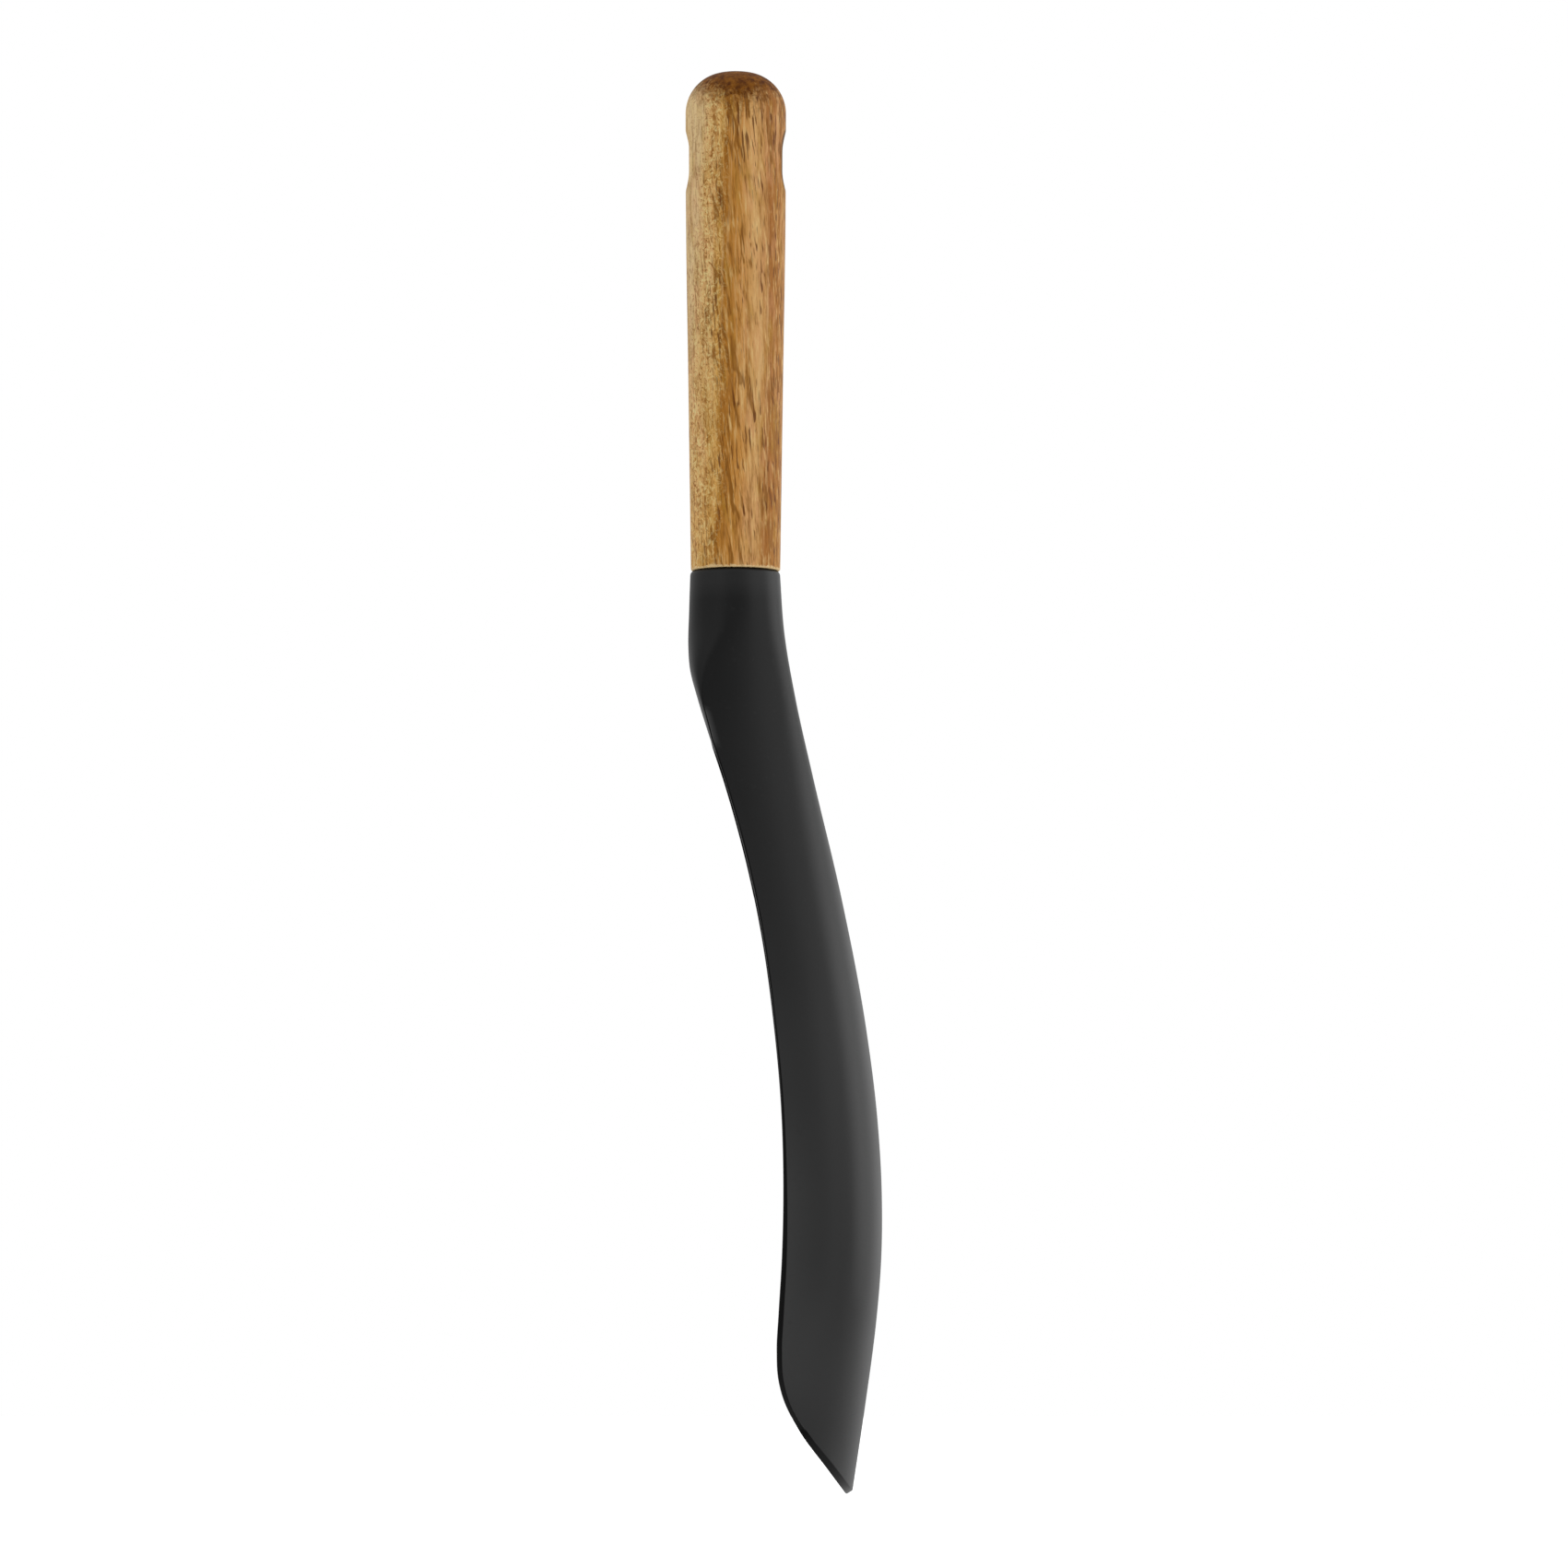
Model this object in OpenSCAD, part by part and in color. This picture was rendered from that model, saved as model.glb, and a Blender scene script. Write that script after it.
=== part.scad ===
// Deep serving spoon: a black silicone head moulded over a nylon core, on a turned wooden handle.
// The origin is the centre of the hanging slot. Z runs up the handle, and X points to the spoon's back.
// Lengths are in mm. "Depth" means the distance below the joint between the handle and the head.

/* [Part] */
// Node to draw

/* [Handle] */
// Height of the dome's top above the slot's centre
handle_top = 19.5; // [14:0.1:30]
// Distance from the slot's centre down to the joint
joint_drop = 90.15; // [60:0.1:120]
// Largest radius, at the foot of the dome
handle_radius = 11.0; // [9:0.05:14]
// Radius of the dome's shoulder
dome_shoulder = 9.0; // [4:0.1:10]
// Radius at the handle's lower end
end_radius = 9.74; // [8.5:0.02:11]
// Chamfer at the handle's lower end
end_chamfer = 0.45; // [0:0.05:1.5]

/* [Hanging slot] */
// Half the slot's width
slot_radius = 3.0; // [1.5:0.1:4]
// Slot's end-to-end length
slot_length = 11.0; // [6:0.1:16]
// Radius of the flared mouth's ends, at the handle's surface
mouth_radius = 4.4; // [3:0.05:6]
// Distance from the handle's axis at which the flare starts
mouth_start = 9.3; // [8:0.1:10.5]

/* [Tang] */
// Radius of the steel rod
rod_radius = 3.0; // [2:0.1:4]
// Rod's length inside the handle
rod_in_handle = 40; // [20:1:60]
// Rod's length inside the core
rod_in_core = 24; // [10:1:28]
// Depth of the glue grooves
groove_depth = 0.35; // [0:0.05:0.8]
// Thickness of the epoxy around the rod
glue_gap = 0.5; // [0.1:0.05:1]
// Epoxy beyond the rod's upper end
glue_plug = 2.0; // [0:0.5:5]

/* [Silicone head] */
// Radius of the rounded lip, half the lip's thickness
lip_radius = 1.0; // [0.6:0.05:1.5]
// Length of the head on its middle plane, without the lip's rounding
head_length = 199.65; // [120:0.1:260]
// The tip's distance from the handle's axis
tip_x = 24.4; // [0:0.1:40]
// Collar's radius
collar_radius = 9.85; // [8:0.05:14]
// Rounding of the collar's shoulder at the joint
collar_round = 1.0; // [0.1:0.05:1.5]
// Bowl's half width inside the lip
bowl_half_width = 30.35; // [20:0.05:45]
// Distance the tip's corners rise above the tip's middle
corner_rise = 12.8; // [4:0.1:20]

/* [Nylon core] */
// Silicone between the core and the inner face of the bowl
core_cover = 1.0; // [0.5:0.1:2]
// Radius of the core's round shank
core_shank = 6.4; // [4.5:0.1:8]
// Depth of the core's lower end
core_end = 184; // [120:1:190]
// Share of the bowl's section that the core spans
core_span = 0.78; // [0.4:0.01:0.9]
// Radius of the locking holes that the silicone fills
lock_radius = 3.0; // [1:0.1:5]

/* [Mesh] */
// Points on half of a section's outer arc
half_points = 11; // [6:1:24]
// Spacing of the sections along the head
section_step = 5; // [2:0.5:10]

/* [Hidden] */
$fn = 64;

bore_radius = rod_radius + glue_gap;
bore_depth = rod_in_handle + glue_plug;
dome_flat = handle_radius - dome_shoulder;
dome_foot = handle_top - dome_shoulder;
groove_heights = [-18, -10, 8, 18, 28];
slot_offset = slot_length / 2 - slot_radius;

// The lines below give [depth, value]. The first three hold x values on the middle plane.
// Centre of the lip's rounding, seen from the side, and in the neck the same line 1 mm under the front
rim_line = [
    [0, -8.87], [9, -9.15], [17, -9.3], [21, -9.0], [27, -7.45], [33, -5.6], [46, -1.3], [61, 2.9],
    [79, 6.7], [97, 9.2], [115, 10.85], [134, 11.4], [150, 11.1], [162, 10.4], [170, 10],
    [176, 10.35], [181, 11.75], [187, 15], [194, 20.2], [head_length, tip_x]
];
// Reference line 1 mm under the back
back_line = [
    [0, 8.65], [13.5, 9.65], [28, 12.1], [45, 15.85], [71, 21.95], [100, 27.4], [120, 29.85],
    [136, 30.75], [150, 30.6], [164, 29.45], [182, 27.05], [head_length, tip_x]
];
// Front face of the spoon's floor
floor_line = [
    [0, -10], [20, -9.9], [28, -8.1], [34, -5.6], [40, -2.4], [48, 2.6], [60, 9.4], [80, 18],
    [100, 23.6], [120, 26.8], [143, 28.2], [165, 26.8], [185, 24.9], [head_length, tip_x - lip_radius]
];
// Half width of the head's outline seen from the front, inside the lip's rounding
width_line = [
    [0, 8.85], [14, 8.9], [30, 9.6], [50, 12.4], [75, 18], [100, 24], [120, 27.9],
    [136, 29.85], [152, bowl_half_width], [170, bowl_half_width]
];
// Exponent of the section's superellipse: 2 is an ellipse, more is squarer
square_line = [[0, 2], [35, 2], [60, 2.2], [100, 2.7], [140, 3], [head_length, 3]];

// Exponents of the front outline below tip_start
tip_start = 152;
tip_length = head_length - tip_start;
tip_power = 2.6;
side_power = 2.2;
corner_depth = head_length - corner_rise;

// Where along the head one way of shaping it gives way to the next: [from depth, to depth]
pole_shift = [8, 31];
front_squaring = [12, 32];
neck_opening = [26, 60];
trough_to_wall = [45, 85];
normal_tilt = [20, 70];
edge_merge = [160, head_length];
core_flattening = [22, 52];
trail_start = 110;
neck_end = 70;
neck_front_exponent = 4;

// Steps for slopes and normals, and the length given to the walk along the tip
step_t = 0.8;
step_s = 0.04;
step_q = 0.7;
step_x = 0.5;
tip_walk = 24;

lock_depths = [98, 126, 154];
lock_overlap = 0.4;
joint_z = -joint_drop;

// ---- small maths ----

function mix(a, b, k) = a + (b - a) * k;
function unit(v) = v / norm(v);
function ease(range, t) =
    let (k = min(1, max(0, (t - range[0]) / (range[1] - range[0]))))
    k * k * (3 - 2 * k);

// Superellipse: how far across and how deep a point is, at s from 0 in the middle to 1 at the side
function across(s, exponent) = sign(s) * pow(abs(sin(90 * s)), 2 / exponent);
function deep(s, exponent) = pow(abs(cos(90 * s)), 2 / exponent);

// A smooth curve through [t, value] points, with three-point slopes
function span_of(c, t, i = 0) = i >= len(c) - 2 || t < c[i + 1][0] ? i : span_of(c, t, i + 1);
function chord(c, i) = (c[i + 1][1] - c[i][1]) / (c[i + 1][0] - c[i][0]);
function slope_at(c, i) =
    i == 0 ? chord(c, 0) :
    i == len(c) - 1 ? chord(c, i - 1) :
    let (before = c[i][0] - c[i - 1][0])
    let (after = c[i + 1][0] - c[i][0])
    (chord(c, i - 1) * after + chord(c, i) * before) / (before + after);
function curve(c, t) =
    let (i = span_of(c, t))
    let (h = c[i + 1][0] - c[i][0])
    let (k = (t - c[i][0]) / h)
    let (k2 = k * k)
    let (k3 = k2 * k)
    (2 * k3 - 3 * k2 + 1) * c[i][1] + (3 * k2 - 2 * k3) * c[i + 1][1]
    + h * ((k3 - 2 * k2 + k) * slope_at(c, i) + (k3 - k2) * slope_at(c, i + 1));

// ---- the head's reference surface, lip_radius under the outer skin ----
// A point is [x, y, depth], set by its depth on the middle plane and by s: 0 on that plane, 1 at the lip.

// Outline seen from the front: half width at a depth, and depth at a half width in the tip
function outline(t) =
    t < tip_start
        ? curve(width_line, t)
        : bowl_half_width * pow(max(0, 1 - pow((t - tip_start) / tip_length, tip_power)), 1 / side_power);
function outline_depth(y) =
    tip_start + tip_length * pow(max(0, 1 - pow(abs(y) / bowl_half_width, side_power)), 1 / tip_power);

corner_half = outline(corner_depth);

// How far the section's ends trail behind its middle, so that the last section is the tip's edge
function trail(t) = corner_rise * pow(max(0, t - trail_start) / (head_length - trail_start), 2);
function trail_share(a) = (head_length - outline_depth(corner_half * a)) / corner_rise;

// Where the section is widest: in its middle at the collar, then moving to the front as the front flattens
function pole_x(t) =
    mix((curve(back_line, t) + curve(rim_line, t)) / 2, curve(rim_line, t - trail(t)), ease(pole_shift, t));

// Share of the way from the neck's bulging front to the open trough
function opening(t) = ease(neck_opening, t);

function reference(t, s) =
    let (a = across(s, curve(square_line, t)))
    let (back = curve(back_line, t))
    let (pole = pole_x(t))
    let (rim_x = curve(rim_line, outline_depth(corner_half * a)))
    let (tip_share = (tip_x - rim_x) / (tip_x - curve(rim_line, corner_depth)))
    let (section_x = mix(pole, back, deep(s, curve(square_line, t))))
    let (edge_x = mix(back, pole, tip_share))
    [
        mix(section_x, edge_x, ease(edge_merge, t)),
        outline(t - trail(t)) * a,
        t - trail(t) * trail_share(a)
    ];

// Outward normal of the reference surface, level in the neck so that the collar's face is flat
function clamp_t(t) = min(head_length, max(0, t));
function clamp_s(s) = min(1, max(-1, s));
function normal(t, s) =
    let (t0 = clamp_t(t - step_t))
    let (t1 = clamp_t(t + step_t))
    let (s0 = clamp_s(s - step_s))
    let (s1 = clamp_s(s + step_s))
    let (n = unit(cross(reference(t0, s1) - reference(t1, s0), reference(t1, s1) - reference(t0, s0))))
    unit([n[0], n[1], n[2] * ease(normal_tilt, t)]);

// Direction out of the surface across its edge. The walk goes down one side and then along the tip.
function walk(q) = q <= head_length ? [q, 1] : [head_length, 1 - (q - head_length) / tip_walk];
function edge_point(q) = let (w = walk(q)) reference(w[0], w[1]);
function edge_out(q) =
    let (w = walk(q))
    let (along = unit(edge_point(q + step_q) - edge_point(max(0, q - step_q))))
    unit(cross(along, normal(w[0], w[1])));

// Rounded lip, from angle 90 at the outer face to -90 at the inner one
function lip_point(q, angle) =
    let (w = walk(q))
    reference(w[0], w[1]) + lip_radius * (sin(angle) * normal(w[0], w[1]) + cos(angle) * edge_out(q));

// ---- the head's sections ----

function outer_point(t, s) = reference(t, s) + lip_radius * normal(t, s);

// Inner face: a plain trough high up, and an even wall lower down
function wall(t, s) =
    let (middle = curve(back_line, t) - curve(floor_line, t) + lip_radius)
    mix(2 * lip_radius, middle, 1 - pow(abs(s), 4));
function trough_point(t, s) =
    let (exponent = curve(square_line, t))
    [
        mix(pole_x(t), curve(floor_line, t), deep(s, exponent)),
        (outline(t) - lip_radius) * across(s, exponent),
        t
    ];
function inner_point(t, s) =
    let (even = reference(t, s) - (wall(t, s) - lip_radius) * normal(t, s))
    mix(trough_point(t, s), even, ease(trough_to_wall, t));

// Front of the neck, from angle 0 at the side to 90 at the middle: round at the collar, flatter lower down
function front_x(t) =
    let (rise = curve(rim_line, t + step_x) - curve(rim_line, max(0, t - step_x)))
    let (slope = rise / (2 * step_x))
    curve(rim_line, t) - lip_radius * sqrt(1 + slope * slope);
function neck_point(t, angle) =
    let (pole = pole_x(t))
    let (exponent = mix(2, neck_front_exponent, ease(front_squaring, t)))
    [
        pole - (pole - front_x(t)) * across(angle / 90, exponent),
        (outline(t) + lip_radius) * deep(angle / 90, exponent),
        t
    ];

// Half a section runs from the middle of the back, round the lip, to the middle of the front:
// outer arc, three points on the lip, inner arc. round_angle is a point's angle where the section is round.
lip_angles = [45, 0, -45];
half_count = 2 * half_points + 5;
count = 2 * half_count - 2;
function round_angle(i) =
    i <= half_points ? 90 * i / half_points :
    i <= half_points + 3 ? 90 + 6.25 * (i - half_points) :
    115 + 65 * (i - half_points - 4) / half_points;
function open_point(t, i) =
    i <= half_points + 3
        ? lip_point(t, lip_angles[i - half_points - 1])
        : inner_point(t, (half_count - 1 - i) / half_points);
function half_section(t) = [
    for (i = [0 : half_points]) outer_point(t, i / half_points),
    for (i = [half_points + 1 : half_count - 1])
        mix(neck_point(t, round_angle(i) - 90), open_point(t, i), opening(t))
];

function mirrored(p) = [p[0], -p[1], p[2]];
function reversed(list) = [for (i = [len(list) - 1 : -1 : 0]) list[i]];

// The neck's depth is set to the side view's, whatever the opening does to the section
function set_depth(t, half) =
    let (back = half[0][0])
    let (front = min([for (p = half) p[0]]))
    let (k = t < neck_end ? (back - front_x(t)) / (back - front) : 1)
    [for (p = half) [back + (p[0] - back) * k, p[1], p[2]]];

// The collar's shoulder is a quarter circle
function shoulder(t) =
    let (k = max(0, 1 - t / collar_round))
    1 - collar_round * (1 - sqrt(1 - k * k)) / collar_radius;
function rounded(t, half) = [for (p = half) [p[0] * shoulder(t), p[1] * shoulder(t), p[2]]];

function whole(half) =
    let (n = len(half))
    concat(half, [for (i = [n - 2 : -1 : 1]) mirrored(half[i])]);
function section(t) = whole(rounded(t, set_depth(t, half_section(t))));

head_stations = concat(
    [0, 0.12, 0.35, collar_round],
    [for (t = [5 : section_step : 185]) t],
    [188.5, 191.5, 194, 196, 197.6, 198.9, 199.7, head_length]
);

// ---- the core's sections ----

function core_front(t, s) =
    let (outside = reference(t, s))
    let (inside = inner_point(t, s))
    inside + core_cover * unit(outside - inside);
function core_blade(t) =
    let (outer_edge = reference(t, core_span))
    let (inner_edge = core_front(t, core_span))
    [
        for (i = [0 : half_points]) reference(t, core_span * i / half_points),
        for (i = [1 : 3]) mix(outer_edge, inner_edge, i / 4),
        for (i = [half_points : -1 : 0]) core_front(t, core_span * i / half_points)
    ];
function core_round(t) =
    let (middle = (curve(back_line, t) + curve(rim_line, t)) / 2 * ease([0, 30], t))
    [
        for (i = [0 : half_count - 1])
            [middle + core_shank * cos(round_angle(i)), core_shank * sin(round_angle(i)), t]
    ];
function core_section(t) =
    let (shank = core_round(t))
    let (blade = core_blade(t))
    whole([for (i = [0 : half_count - 1]) mix(shank[i], blade[i], ease(core_flattening, t))]);
core_stations = concat([0, 12, 22], [for (t = [27 : section_step : core_end - 4]) t], [core_end]);

// ---- skins ----

// To the part's frame: depth becomes -Z
function placed(points) = [for (p = points) [p[0], p[1], joint_z - p[2]]];
function joined(lists) = [for (list = lists) for (p = list) p];

// A tube of rings with count points each, starting at point base
function tube_faces(base, rings) = [
    for (r = [0 : rings - 2])
        for (i = [0 : count - 1])
            let (a = base + r * count + i)
            let (b = base + r * count + (i + 1) % count)
            for (face = [[a, b, b + count], [a, b + count, a + count]]) face
];
function flipped(faces) = [for (face = faces) reversed(face)];

// Closes the ring that starts at point base, with strips from its back to its front
function end_faces(base) = [
    for (i = [0 : half_points + 1])
        let (j = half_count - 1 - i)
        for (quad = [
            [i, i + 1, j - 1, j],
            [count - i - 1, (count - i) % count, (count - j) % count, (count - j + 1) % count]
        ])
            for (face = [[quad[0], quad[1], quad[2]], [quad[0], quad[2], quad[3]]])
                if (face[0] != face[1] && face[1] != face[2] && face[2] != face[0])
                    [for (k = face) base + k]
];

// The flat face at the joint, between the outer ring at point a and the core's ring at point b
function joint_faces(a, b) = [
    for (i = [0 : count - 1])
        let (j = (i + 1) % count)
        for (face = [[a + j, a + i, b + i], [a + j, b + i, b + j]]) face
];

// The tip's edge: at each s along it, the lip's three middle points, between the last ring's two arcs
tip_row = half_points - 1;
function tip_points() = [
    for (i = [tip_row : -1 : -tip_row])
        let (q = head_length + (1 - abs(i) / half_points) * tip_walk)
        for (angle = lip_angles)
            i < 0 ? mirrored(lip_point(q, angle)) : lip_point(q, angle)
];
function tip_column(last, base, j) = [
    last + (j + count) % count,
    for (k = [0 : 2])
        j == half_points ? last + half_points + 1 + k :
        j == -half_points ? last + count - half_points - 1 - k :
        base + (tip_row - j) * 3 + k,
    last + (j >= 0 ? half_count - 1 - j : count - half_count + 1 - j)
];
function tip_faces(last, base) = [
    for (j = [half_points : -1 : 1 - half_points])
        let (a = tip_column(last, base, j - 1))
        let (b = tip_column(last, base, j))
        for (k = [0 : 3])
            for (face = [[a[k], b[k], b[k + 1]], [a[k], b[k + 1], a[k + 1]]]) face
];

// ---- sub-parts ----

// The handle swells evenly from its lower end to the slot, then more slowly to the dome
module handle_outline() {
    waist_radius = 10.92;
    waist_z = -10;
    polygon([
        [0, joint_z],
        [end_radius - end_chamfer, joint_z],
        [end_radius, joint_z + end_chamfer],
        [waist_radius, waist_z],
        [mix(waist_radius, handle_radius, 0.65), 0],
        [handle_radius, dome_foot],
        [0, dome_foot]
    ]);
}

module dome_outline() {
    square_height = dome_shoulder + 1;
    translate([0, dome_foot - 1])
        square([dome_flat, square_height]);
    intersection() {
        translate([dome_flat, dome_foot])
            circle(r = dome_shoulder);
        translate([dome_flat, dome_foot])
            square(dome_shoulder);
    }
}

module slot_mouth(side) {
    beyond = 0.5;
    reach = handle_radius + beyond - mouth_start;
    wide = slot_radius + (mouth_radius - slot_radius) * reach / (handle_radius - mouth_start);
    for (z = [-slot_offset, slot_offset])
        translate([side * mouth_start, 0, z])
            rotate([0, side * 90, 0])
                cylinder(h = reach, r1 = slot_radius, r2 = wide);
    translate([0, 0, -slot_offset])
        linear_extrude(height = 2 * slot_offset)
            polygon([
                [side * mouth_start, -slot_radius],
                [side * (mouth_start + reach), -wide],
                [side * (mouth_start + reach), wide],
                [side * mouth_start, slot_radius]
            ]);
}

module hanging_slot() {
    through = 2 * handle_radius + 2;
    for (z = [-slot_offset, slot_offset])
        translate([-through / 2, 0, z])
            rotate([0, 90, 0])
                cylinder(h = through, r = slot_radius);
    translate([-through / 2, -slot_radius, -slot_offset])
        cube([through, 2 * slot_radius, 2 * slot_offset]);
    slot_mouth(1);
    slot_mouth(-1);
}

module wooden_handle() {
    color([0.68, 0.50, 0.28])
        difference() {
            rotate_extrude()
                union() {
                    handle_outline();
                    dome_outline();
                }
            hanging_slot();
            translate([0, 0, joint_z - 1])
                cylinder(h = bore_depth + 1, r = bore_radius);
        }
}

// The silicone fills the core's locking holes, so the two can't slide apart
module lock_pin(t, outward, inward) {
    slope = (curve(back_line, t + 1) - curve(back_line, t - 1)) / 2;
    translate([curve(back_line, t), 0, joint_z - t])
        rotate([0, 90 - atan(slope), 0])
            translate([0, 0, -inward])
                cylinder(h = inward + outward, r = lock_radius);
}

module head_skin() {
    rings = [for (t = head_stations) section(t)];
    outer = joined(rings);
    tip = tip_points();
    core = joined([for (t = core_stations) core_section(t)]);
    tip_base = len(outer);
    core_base = tip_base + len(tip);
    polyhedron(
        points = placed(concat(outer, tip, core)),
        faces = concat(
            tube_faces(0, len(head_stations)),
            tip_faces(tip_base - count, tip_base),
            joint_faces(0, core_base),
            flipped(tube_faces(core_base, len(core_stations))),
            flipped(end_faces(core_base + len(core) - count))
        )
    );
}

module silicone_head() {
    color([0.06, 0.06, 0.065])
        union() {
            head_skin();
            for (t = lock_depths)
                lock_pin(t, lock_overlap, wall(t, 0) - 2 * core_cover + lock_overlap);
        }
}

module core_skin() {
    core = joined([for (t = core_stations) core_section(t)]);
    polyhedron(
        points = placed(core),
        faces = concat(
            tube_faces(0, len(core_stations)),
            end_faces(len(core) - count),
            flipped(end_faces(0))
        )
    );
}

module nylon_core() {
    color([0.20, 0.21, 0.23])
        difference() {
            core_skin();
            rod();
            for (t = lock_depths)
                lock_pin(t, 2, wall(t, 0) + 2);
        }
}

module rod() {
    difference() {
        translate([0, 0, joint_z - rod_in_core])
            cylinder(h = rod_in_core + rod_in_handle, r = rod_radius);
        for (z = groove_heights)
            translate([0, 0, joint_z + z])
                difference() {
                    cylinder(h = 2, r = rod_radius + 1);
                    cylinder(h = 2, r = rod_radius - groove_depth);
                }
    }
}

module tang_rod() {
    color([0.72, 0.73, 0.75])
        rod();
}

module bond_sleeve() {
    color([0.85, 0.72, 0.42])
        difference() {
            translate([0, 0, joint_z])
                cylinder(h = bore_depth, r = bore_radius);
            rod();
        }
}

wooden_handle();
silicone_head();
nylon_core();
tang_rod();
bond_sleeve();
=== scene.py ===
import math

import bmesh
import bpy
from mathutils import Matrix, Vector


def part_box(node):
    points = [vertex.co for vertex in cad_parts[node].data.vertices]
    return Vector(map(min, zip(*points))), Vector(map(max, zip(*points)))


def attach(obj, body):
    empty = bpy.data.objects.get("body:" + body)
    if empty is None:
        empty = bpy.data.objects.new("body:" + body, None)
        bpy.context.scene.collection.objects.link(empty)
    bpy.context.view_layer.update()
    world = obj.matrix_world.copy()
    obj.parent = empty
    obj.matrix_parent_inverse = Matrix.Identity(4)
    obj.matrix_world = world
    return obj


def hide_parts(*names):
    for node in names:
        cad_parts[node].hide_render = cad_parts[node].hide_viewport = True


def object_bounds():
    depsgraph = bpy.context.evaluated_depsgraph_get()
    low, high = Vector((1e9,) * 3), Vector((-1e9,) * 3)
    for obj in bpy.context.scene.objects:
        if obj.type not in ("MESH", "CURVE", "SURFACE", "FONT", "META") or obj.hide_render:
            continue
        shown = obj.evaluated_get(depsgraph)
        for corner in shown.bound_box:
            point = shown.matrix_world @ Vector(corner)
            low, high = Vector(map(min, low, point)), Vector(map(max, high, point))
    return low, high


# A deep serving spoon with a black silicone head and a turned acacia handle.
# Lengths are in metres, in the frame's axes. The shapes of the head and the handle are worked out in mm.
# A point of the head is (x, y, depth) until add_ring places it. Depth is the distance under the joint.
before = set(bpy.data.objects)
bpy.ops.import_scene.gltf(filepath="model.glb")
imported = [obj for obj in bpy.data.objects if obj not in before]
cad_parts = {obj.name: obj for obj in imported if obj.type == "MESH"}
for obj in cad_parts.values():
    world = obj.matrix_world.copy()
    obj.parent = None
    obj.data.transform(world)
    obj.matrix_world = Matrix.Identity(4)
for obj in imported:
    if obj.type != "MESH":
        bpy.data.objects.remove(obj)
cad_low, cad_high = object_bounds()

MM = 0.001
HANDLE_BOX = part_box("wooden_handle")
GLUE_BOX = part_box("bond_sleeve")
JOINT_Z = HANDLE_BOX[0].z
HEAD_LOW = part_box("silicone_head")[0].z
HANDLE_TOP = HANDLE_BOX[1].z
BORE_RADIUS = GLUE_BOX[1].x
BORE_TOP = GLUE_BOX[1].z


# ---------------------------------------------------------------- small maths

def mix(a, b, k):
    return a + (b - a) * k


def clamp(value, low, high):
    return min(high, max(low, value))


def ease(a, b, t):
    """A smooth step from 0 at a to 1 at b."""
    k = clamp((t - a) / (b - a), 0.0, 1.0)
    return k * k * (3 - 2 * k)


class Curve:
    """A smooth curve through (t, value) points, with three-point slopes."""

    def __init__(self, *points):
        self.t = [p[0] for p in points]
        self.v = [p[1] for p in points]
        chords = [
            (self.v[i + 1] - self.v[i]) / (self.t[i + 1] - self.t[i]) for i in range(len(points) - 1)
        ]
        self.m = [chords[0]]
        for i in range(1, len(points) - 1):
            before = self.t[i] - self.t[i - 1]
            after = self.t[i + 1] - self.t[i]
            self.m.append((chords[i - 1] * after + chords[i] * before) / (before + after))
        self.m.append(chords[-1])

    def __call__(self, t):
        i = 0
        while i < len(self.t) - 2 and t >= self.t[i + 1]:
            i += 1
        h = self.t[i + 1] - self.t[i]
        k = (t - self.t[i]) / h
        k2 = k * k
        k3 = k2 * k
        ends = (2 * k3 - 3 * k2 + 1) * self.v[i] + (3 * k2 - 2 * k3) * self.v[i + 1]
        return ends + h * ((k3 - 2 * k2 + k) * self.m[i] + (k3 - k2) * self.m[i + 1])


# ---------------------------------------------------------------- the head's shape

# Half the lip's thickness, and the head's length and tip without the lip's rounding
LIP = 1.0
LENGTH = 199.65
TIP_X = 24.4
# The outline seen from the front: it closes from TIP_START on, as a curve with these two powers
HALF_WIDTH = 30.35
TIP_START = 152.0
TIP_POWER = 2.6
SIDE_POWER = 2.2
# How far the tip's corners rise above its middle, and where the sections start to bend towards them
CORNER_RISE = 12.8
TRAIL_START = 110
NECK_END = 70
# Places on the lip are numbered by their depth, and then by this much more along half the tip
TIP_REACH = 24
COLLAR_RADIUS = 9.85
COLLAR_ROUND = 1.0
# The nylon core: the silicone in front of it, its shank's radius, its share of the width, and its end
COVER = 1.0
CORE_SHANK = 6.4
CORE_SPAN = 0.78
CORE_END = 184.0
# Steps for measuring the surface's slope
DEPTH_STEP = 0.8
SIDE_STEP = 0.04
EDGE_STEP = 0.7

rim_line = Curve(
    (0, -8.87), (9, -9.15), (17, -9.3), (21, -9.0), (27, -7.45), (33, -5.6), (46, -1.3), (61, 2.9),
    (79, 6.7), (97, 9.2), (115, 10.85), (134, 11.4), (150, 11.1), (162, 10.4), (170, 10),
    (176, 10.35), (181, 11.75), (187, 15), (194, 20.2), (LENGTH, TIP_X),
)
back_line = Curve(
    (0, 8.65), (13.5, 9.65), (28, 12.1), (45, 15.85), (71, 21.95), (100, 27.4), (120, 29.85),
    (136, 30.75), (150, 30.6), (164, 29.45), (182, 27.05), (LENGTH, TIP_X),
)
floor_line = Curve(
    (0, -10), (20, -9.9), (28, -8.1), (34, -5.6), (40, -2.4), (48, 2.6), (60, 9.4), (80, 18),
    (100, 23.6), (120, 26.8), (143, 28.2), (165, 26.8), (185, 24.9), (LENGTH, TIP_X - LIP),
)
width_line = Curve(
    (0, 8.85), (14, 8.9), (30, 9.6), (50, 12.4), (75, 18), (100, 24), (120, 27.9),
    (136, 29.85), (152, HALF_WIDTH), (170, HALF_WIDTH),
)
square_line = Curve((0, 2), (35, 2), (60, 2.2), (100, 2.7), (140, 3), (LENGTH, 3))


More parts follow.
